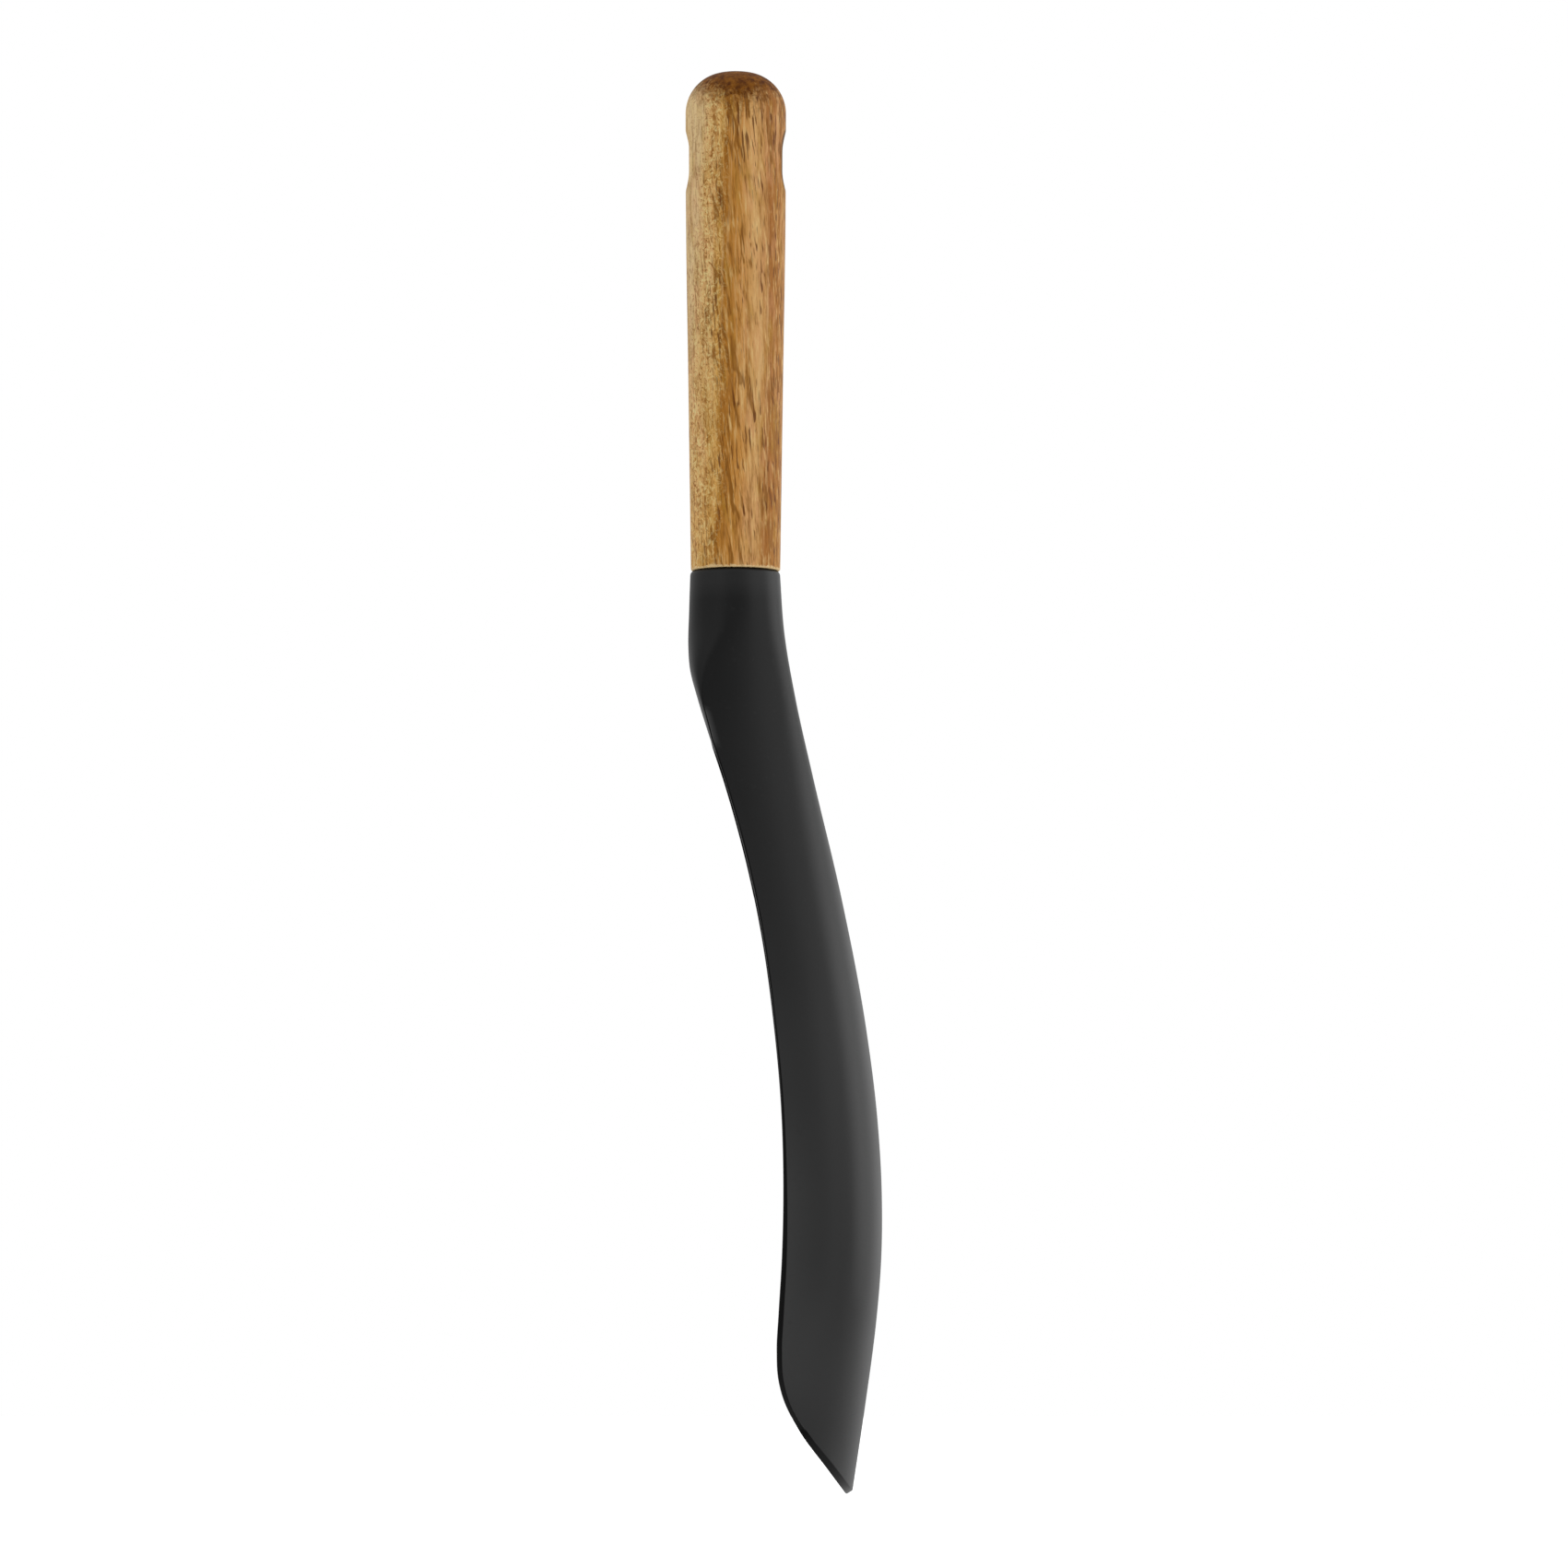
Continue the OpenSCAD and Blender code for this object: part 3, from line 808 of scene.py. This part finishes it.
def silicone_material():
    """Matt black with fine dust specks and painted lighter coats. Painted shade darkens the lip's edge
    and the gap at the joint.
    """
    n = new_material("matt_black_silicone")
    x, _, z = n.axes()
    grain = n.noise(n.place((1, 1, 1)), 2600, 2.0, 0.6)
    cloud = n.noise(n.place((1, 1, 0.5)), 45, 3.0, 0.55)
    dust = n.fade(n.noise(n.place((1, 1, 1)), 900, 2.0, 0.5), (0.62, 0), (0.78, 1))
    height = n.add("ShaderNodeMapRange", {0: z, 1: HEAD_LOW, 2: JOINT_Z}).outputs[0]
    # Painted highlight on a short line of the lip near the neck, and painted shade on the lip's edge and
    # the neck's front.
    painted_highlight = n.attribute("lip_painted_highlight")
    lip = n.math("MULTIPLY", n.attribute("lip_painted_shade"), n.math("SUBTRACT", 1.0, painted_highlight))
    depth_mm = n.math("MULTIPLY", n.math("SUBTRACT", JOINT_Z, z), 1 / MM)
    # Painted shade in the gap just under the joint.
    gap_painted_shade = n.fade(depth_mm, (0.35, 1), (0.8, 0))

    color = n.mix(cloud, (0.0046, 0.0048, 0.0048, 1), (0.0072, 0.0074, 0.0076, 1))
    # Painted light: each coat lifts the colour.
    for painted_light in painted_light_coats(n, x, height):
        color = n.mix(1.0, color, painted_light, "ADD")
    color = n.mix(n.math("MULTIPLY", dust, 0.3), color, grey(0.022))
    # Painted highlight: that line a lighter grey.
    color = n.mix(painted_highlight, color, grey(0.1))
    # Painted shade: the gap dark brown.
    color = n.mix(gap_painted_shade, color, (0.006, 0.003, 0.001, 1))
    # The painted shade also lowers the reflection there, and on the neck's forward-facing front.
    dull = n.math("MAXIMUM", n.math("MAXIMUM", lip, gap_painted_shade), neck_front(n, height))
    return n.set(
        # Painted shade: the lip's edge and the neck's front nearly black.
        Base_Color=n.mix(lip, color, grey(0.002)),
        Roughness=n.math("ADD", n.math("MULTIPLY", cloud, 0.08), 0.34),
        Normal=n.bump(grain, 0.12, 0.00005),
        Specular_IOR_Level=n.mix(dull, grey(0.34), grey(0.06)),
    )


def wood_bands(n, layer):
    """Growth bands, from the light curly wood on the left to the orange wood on the right."""
    return n.ramp(
        layer,
        (0.14, srgb(255, 221, 164)), (0.2, srgb(245, 190, 114)), (0.275, srgb(238, 180, 90)),
        (0.305, srgb(195, 127, 36)), (0.35, srgb(206, 138, 49)), (0.46, srgb(224, 158, 77)),
        (0.56, srgb(236, 182, 113)), (0.655, srgb(207, 148, 80)), (0.68, srgb(178, 110, 40)),
        (0.8, srgb(188, 122, 42)), (0.95, srgb(195, 133, 54)),
    )


def wood_streaks(n, color, layer, y, z):
    """Long streaks that follow the bands."""
    along = n.combine(n.math("MULTIPLY", layer, 24.0), y, n.math("MULTIPLY", z, 13.0))
    streaks = n.noise(along, 1.0, 3.0, 0.65)
    color = n.mix(n.fade(streaks, (0.32, 0.7), (0.48, 0.0)), color, srgb(158, 100, 30))
    return n.mix(n.fade(streaks, (0.54, 0.0), (0.72, 0.6)), color, srgb(253, 212, 148))


def wood_patches(n, color, grain, layer):
    """Soft pinkish and olive patches. The dark band has little of the pink."""
    pink = n.noise(n.stretch(grain, (1, 1, 0.3)), 300, 2.0, 0.6)
    olive = n.noise(n.stretch(grain, (1, 1, 0.2)), 420, 2.0, 0.6)
    pink_band = n.fade(layer, (0.25, 1.0), (0.3, 0.1), (0.42, 0.2), (0.5, 1.0))
    pink_amount = n.math("MULTIPLY", n.fade(pink, (0.48, 0.0), (0.62, 0.35)), pink_band)
    color = n.mix(pink_amount, color, srgb(240, 176, 122))
    return n.mix(n.fade(olive, (0.52, 0.0), (0.66, 0.45)), color, srgb(190, 140, 40))


def wood_fibres(n, color, fibre):
    """Fine fibres, dark and light."""
    color = n.mix(n.fade(fibre, (0.3, 0.85), (0.47, 0.0)), color, srgb(148, 92, 24))
    return n.mix(n.fade(fibre, (0.53, 0.0), (0.72, 0.8)), color, srgb(255, 217, 146))


def wood_strokes(n, color, grain, layer):
    """Wavy brown strokes in patches, most of them in the darker band."""
    strokes = n.noise(n.stretch(grain, (1, 1, 0.13)), 950, 2.0, 0.6, 0.5)
    patches = n.noise(n.stretch(grain, (1, 1, 0.35)), 170, 2.0, 0.5)
    dark_band = n.fade(layer, (0.2, 0.0), (0.32, 0.14), (0.5, 0.0))
    grouped = n.fade(n.math("ADD", patches, dark_band), (0.42, 0), (0.58, 1))
    amount = n.math("MULTIPLY", n.fade(strokes, (0.53, 0.0), (0.6, 0.85)), grouped)
    amount = n.math("MULTIPLY", amount, n.fade(layer, (0.14, 0.25), (0.28, 1.0)))
    return n.mix(amount, color, srgb(148, 92, 16))


def wood_curls(n, color, grain, layer):
    """Curly flecks and specks in the light wood."""
    curl = n.noise(n.stretch(grain, (1, 1, 0.6)), 850, 3.0, 0.75, 2.2)
    curly = n.fade(layer, (0.12, 0.4), (0.2, 1.0), (0.36, 0.0))
    light = n.math("MULTIPLY", n.fade(curl, (0.52, 0.0), (0.62, 1.0)), curly)
    dark = n.math("MULTIPLY", n.fade(curl, (0.39, 1.0), (0.46, 0.0)), curly)
    color = n.mix(light, color, srgb(255, 228, 156))
    return n.mix(dark, color, srgb(164, 102, 28))


def wood_pores(n, grain, layer):
    """Mask of the thin open pores, in groups. The light wood has few."""
    pores = n.noise(n.stretch(grain, (1.25, 1, 0.1)), 1700, 1.0, 0.5, 0.3)
    groups = n.noise(n.stretch(grain, (1, 1, 0.3)), 210, 2.0, 0.5)
    grouped = n.fade(groups, (0.4, 0), (0.52, 1))
    open_pores = n.math("MULTIPLY", n.fade(pores, (0.61, 0), (0.67, 1)), grouped)
    return n.math("MULTIPLY", open_pores, n.fade(layer, (0.16, 0.3), (0.3, 1.0)))


def around_zero(n, noise, size):
    """Noise moved so that it varies round 0, by size in all."""
    return n.math("MULTIPLY", n.math("SUBTRACT", noise, 0.5), size)


def dome_mask(n, x, z, speck):
    """How much of the dome's dark end grain shows: most near the top, with a rough edge."""
    start = 0.0085
    reach = 0.0075
    middle = 0.001
    height = n.math("DIVIDE", n.math("SUBTRACT", z, start), reach)
    rough_height = n.math("ADD", height, around_zero(n, speck, 1.5))
    sides = n.math("MULTIPLY", n.math("ABSOLUTE", n.math("SUBTRACT", x, middle)), 50.0)
    return n.fade(n.math("SUBTRACT", rough_height, sides), (0.0, 0), (0.75, 1.0))


def mouth_painted_shade_mask(n, x, y, z):
    """Painted shade on the rim of the slot's back mouth."""
    reach = 0.006
    above = n.math("MAXIMUM", n.math("SUBTRACT", n.math("ABSOLUTE", z), SLOT_HALF * MM), 0.0)
    squares = n.math("ADD", n.math("POWER", above, 2.0), n.math("POWER", n.math("ABSOLUTE", y), 2.0))
    distance = n.math("DIVIDE", n.math("SQRT", squares), reach)
    rim = n.fade(distance, (0.7, 0.8), (0.82, 0))
    back = n.fade(n.math("MULTIPLY", x, 50.0), (0.4, 0), (0.46, 1))
    return n.math("MULTIPLY", rim, back)


def lower_edge_line_mask(n, z, speck):
    """The wood lighter in a thin rough line just above the joint."""
    reach = 0.0012
    rough_height = n.math("ADD", n.math("SUBTRACT", z, JOINT_Z), around_zero(n, speck, 0.0018))
    return n.fade(n.math("DIVIDE", rough_height, reach), (0.2, 0.75), (0.55, 0))


def acacia_material():
    """Oiled acacia. layer rises across the growth bands, which lean and sway along the handle.

    grain is the point for the figure, moved so that the figure leans and sways too.
    """
    n = new_material("oiled_acacia")
    x, y, z = n.axes()
    sway = n.math("SUBTRACT", n.noise(n.place((1, 1, 0.3)), 45, 3.0, 0.55), 0.5)
    flat = n.math("ADD", n.math("MULTIPLY", x, 36.0), n.math("MULTIPLY", y, 12.6))
    lean = n.math("ADD", n.math("MULTIPLY", z, -1.06), n.math("MULTIPLY", sway, 0.3))
    layer = n.math("ADD", n.math("ADD", flat, lean), 0.5)
    across = n.math("ADD", n.math("MULTIPLY", z, 0.09), n.math("MULTIPLY", sway, 0.003))
    grain = n.combine(n.math("ADD", x, across), y, z)
    fibre = n.noise(n.stretch(grain, (1, 1, 0.09)), 1700, 3.0, 0.7)
    pores = wood_pores(n, grain, layer)

    color = wood_bands(n, layer)
    color = wood_streaks(n, color, layer, y, z)
    color = wood_patches(n, color, grain, layer)
    color = wood_fibres(n, color, fibre)
    color = wood_strokes(n, color, grain, layer)
    color = wood_curls(n, color, grain, layer)
    color = n.mix(n.math("MULTIPLY", pores, 0.85), color, srgb(110, 58, 6))

    speck = n.noise(n.place((1, 1, 1)), 1100, 3.0, 0.75)
    end_grain = dome_mask(n, x, z, speck)
    blotches = n.noise(n.place((1, 1, 1), (0.2, 0, 0)), 620, 3.0, 0.7)
    mottle = n.fade(blotches, (0.36, 0), (0.64, 1))
    color = n.mix(end_grain, color, n.mix(mottle, srgb(88, 42, 0), srgb(144, 88, 18)))
    color = n.mix(lower_edge_line_mask(n, z, speck), color, srgb(255, 226, 170))
    # Painted shade: the slot's back mouth a darker brown.
    color = n.mix(mouth_painted_shade_mask(n, x, y, z), color, srgb(84, 54, 20))

    relief = n.math("SUBTRACT", n.math("MULTIPLY", fibre, 0.4), pores)
    return n.set(
        Base_Color=color,
        Roughness=n.math("ADD", n.math("MULTIPLY", fibre, 0.14), 0.46),
        Normal=n.bump(relief, 0.18, 0.00008),
        Specular_IOR_Level=n.mix(end_grain, grey(0.22), grey(0.08)),
    )


def nylon_material():
    n = new_material("glass_filled_nylon")
    fibres = n.noise(n.place((1, 1, 0.3)), 900, 2.0, 0.6)
    color = n.mix(n.fade(fibres, (0.45, 0), (0.7, 1)), grey(0.03), grey(0.075))
    return n.set(Base_Color=color, Roughness=0.48, Normal=n.bump(fibres, 0.2, 0.0001))


def steel_material():
    n = new_material("drawn_steel")
    draw = n.noise(n.place((1, 1, 0.01)), 3000, 2.0, 0.6)
    rough = n.math("ADD", n.math("MULTIPLY", draw, 0.2), 0.22)
    return n.set(
        Base_Color=(0.62, 0.62, 0.63, 1),
        Metallic=1.0,
        Roughness=rough,
        Normal=n.bump(draw, 0.1, 0.00005),
    )


def epoxy_material():
    n = new_material("cured_epoxy")
    cloud = n.noise(n.place((1, 1, 1)), 260, 3.0, 0.6)
    color = n.mix(cloud, (0.72, 0.5, 0.2, 1), (0.6, 0.38, 0.12, 1))
    return n.set(Base_Color=color, Roughness=0.22, Normal=n.bump(cloud, 0.15, 0.0002))


def floor_material():
    """A pale floor, lifted to white for the camera, that glows a little round the object's foot."""
    n = new_material("pale_floor")
    length = n.add("ShaderNodeVectorMath", {0: n.object_point()}, operation="LENGTH")
    glow = n.smooth_range(length.outputs["Value"], GLOW_INSIDE, GLOW_OUTSIDE, GLOW, 0.0)
    strength = n.mix(n.camera_ray(), n.combine_grey(glow), grey(CAMERA_LIFT))
    return n.set(
        Base_Color=grey(0.8),
        Roughness=0.9,
        Specular_IOR_Level=0.0,
        Emission_Color=strength,
        Emission_Strength=1.0,
    )


def paint(obj, material):
    obj.data.materials.clear()
    obj.data.materials.append(material)


def paint_node(name, material):
    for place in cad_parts[name].material_slots:
        place.link = "OBJECT"
        place.material = material


# ---------------------------------------------------------------- studio

# The camera's aim, its distance, and the side of the square it sees there. It looks up a little.
CENTRE = Vector((0.01056, 0, -0.1367))
DISTANCE = 1.795
CAMERA_ELEVATION = -4.3
FRAME_SIDE = 0.3413
SENSOR_WIDTH = 36
FLOOR_DROP = 0.03
FLOOR_RADIUS = 30
# Light of the room, and of the part straight in front of the object. It changes between these
# values of the direction's part along -Y
ROOM_LIGHT = 0.58
FRONT_LIGHT = 0.2
FRONT_START = 0.78
FRONT_FULL = 0.97
# The floor's emission to the camera, and its glow to the object out to these distances
CAMERA_LIFT = 0.9
GLOW = 0.2
GLOW_INSIDE = 0.4
GLOW_OUTSIDE = 0.7
# Softboxes: name, azimuth, elevation, width and height, and radiance
LIGHT_DISTANCE = 1.6
SOFTBOXES = (
    ("right", 55, 5, (1.0, 2.0), 0.42),
    ("right_back", 105, 5, (1.0, 2.0), 0.98),
    ("far_right_back", 145, 5, (1.0, 2.0), 0.22),
    ("overhead", 0, 89, (2.0, 2.0), 0.4),
)


def make_floor():
    bm = bmesh.new()
    bmesh.ops.create_circle(bm, cap_ends=True, segments=96, radius=FLOOR_RADIUS)
    obj = finish_mesh(bm, "studio_floor")
    obj.location.z = cad_low.z - FLOOR_DROP
    paint(obj, floor_material())


def soft_light(name, azimuth, elevation, size, radiance):
    """A softbox that faces the object. Azimuth is from the camera, to its right."""
    data = bpy.data.lights.new(name, "AREA")
    data.shape = "RECTANGLE"
    data.size, data.size_y = size
    data.energy = radiance * math.pi * size[0] * size[1]
    a, e = math.radians(azimuth), math.radians(elevation)
    towards = Vector((math.sin(a) * math.cos(e), -math.cos(a) * math.cos(e), math.sin(e)))
    obj = bpy.data.objects.new(name, data)
    obj.location = CENTRE + towards * LIGHT_DISTANCE
    obj.visible_camera = False
    obj.rotation_mode = "QUATERNION"
    obj.rotation_quaternion = (-towards).to_track_quat("-Z", "Y")
    bpy.context.scene.collection.objects.link(obj)


def make_world():
    """White to the camera. To the object, an even grey room that is darker round the camera."""
    world = bpy.data.worlds.new("white_studio")
    n = Nodes(world, "Background")
    direction = n.add("ShaderNodeTexCoord").outputs["Generated"]
    front = n.math("MULTIPLY", n.axis_of(direction, 1), -1.0)
    room = n.smooth_range(front, FRONT_START, FRONT_FULL, ROOM_LIGHT, FRONT_LIGHT)
    n.set(Color=n.mix(n.camera_ray(), n.combine_grey(room), grey(1.0)))
    bpy.context.scene.world = world


def make_camera():
    data = bpy.data.cameras.new("camera")
    data.sensor_width = SENSOR_WIDTH
    data.lens = SENSOR_WIDTH * DISTANCE / FRAME_SIDE
    camera = bpy.data.objects.new("camera", data)
    e = math.radians(CAMERA_ELEVATION)
    back = Vector((0, -math.cos(e), math.sin(e)))
    camera.location = CENTRE + back * DISTANCE
    camera.rotation_mode = "QUATERNION"
    camera.rotation_quaternion = (-back).to_track_quat("-Z", "Y")
    bpy.context.scene.collection.objects.link(camera)
    bpy.context.scene.camera = camera


def make_studio():
    make_floor()
    make_world()
    for softbox in SOFTBOXES:
        soft_light(*softbox)
    make_camera()
    scene = bpy.context.scene
    scene.view_settings.view_transform = "Standard"
    scene.view_settings.look = "None"


# ---------------------------------------------------------------- build

paint(make_head(), silicone_material())
paint(make_handle(), acacia_material())
paint_node("nylon_core", nylon_material())
paint_node("tang_rod", steel_material())
paint_node("bond_sleeve", epoxy_material())
make_studio()
